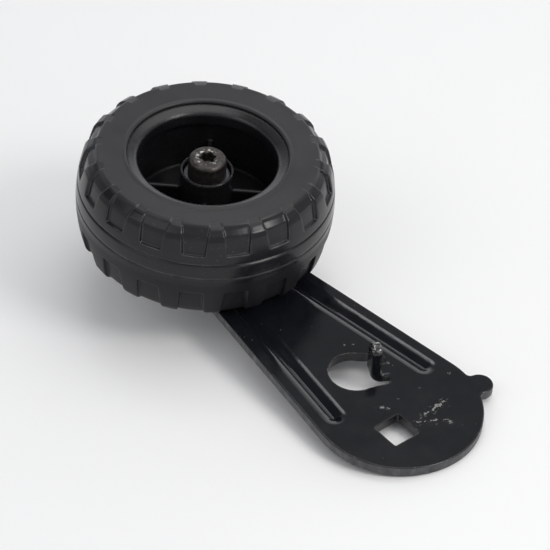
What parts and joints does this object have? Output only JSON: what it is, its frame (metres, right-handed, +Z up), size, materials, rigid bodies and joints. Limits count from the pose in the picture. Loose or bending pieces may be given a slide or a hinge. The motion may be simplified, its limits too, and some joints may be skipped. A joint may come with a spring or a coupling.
{
  "type": "gate wheel",
  "caption": "Treaded plastic wheel turning on a bolted axle at the narrow end of a tapered pressed-steel arm with a square mounting hole and a bent-up spring tongue.",
  "frame": {"origin": "centre of the square mounting hole, on the underside of the arm plate", "axes": "+X along the arm from the axle towards the rounded end, +Z up along the axle from the lock nut to the bolt head, +Y towards the side of the arm that carries the small ear"},
  "size_m": [0.197, 0.1, 0.0652],
  "materials": {
    "arm_paint": "semi-gloss black paint on pressed sheet steel, worn along its edges",
    "black_steel": "dull black oxide, brownish where worn",
    "zinc_steel": "zinc plated",
    "tyre_black": "satin black moulded hard rubber",
    "rim_black": "moulded black plastic, glossier than the tyre",
    "bush_nylon": "plain nylon",
    "insert_nylon": "nylon locking ring"
  },
  "bodies": {
    "arm": {"arm_plate": "arm_paint", "axle_bolt": "black_steel", "head_washer": "black_steel", "axle_sleeve": "zinc_steel", "spacer_collar": "zinc_steel", "nut_washer": "zinc_steel", "lock_nut": "zinc_steel", "nut_insert": "insert_nylon"},
    "wheel": {"wheel_tyre": "tyre_black", "wheel_rim": "rim_black", "hub_bush_upper": "bush_nylon", "hub_bush_lower": "bush_nylon"}
  },
  "joints": [
    {"name": "wheel_spin", "type": "hinge", "parent": "arm", "child": "wheel", "pos_m": [-0.124, 0.0085, 0.027], "axis": [0, 0, 1], "continuous": true}
  ]
}
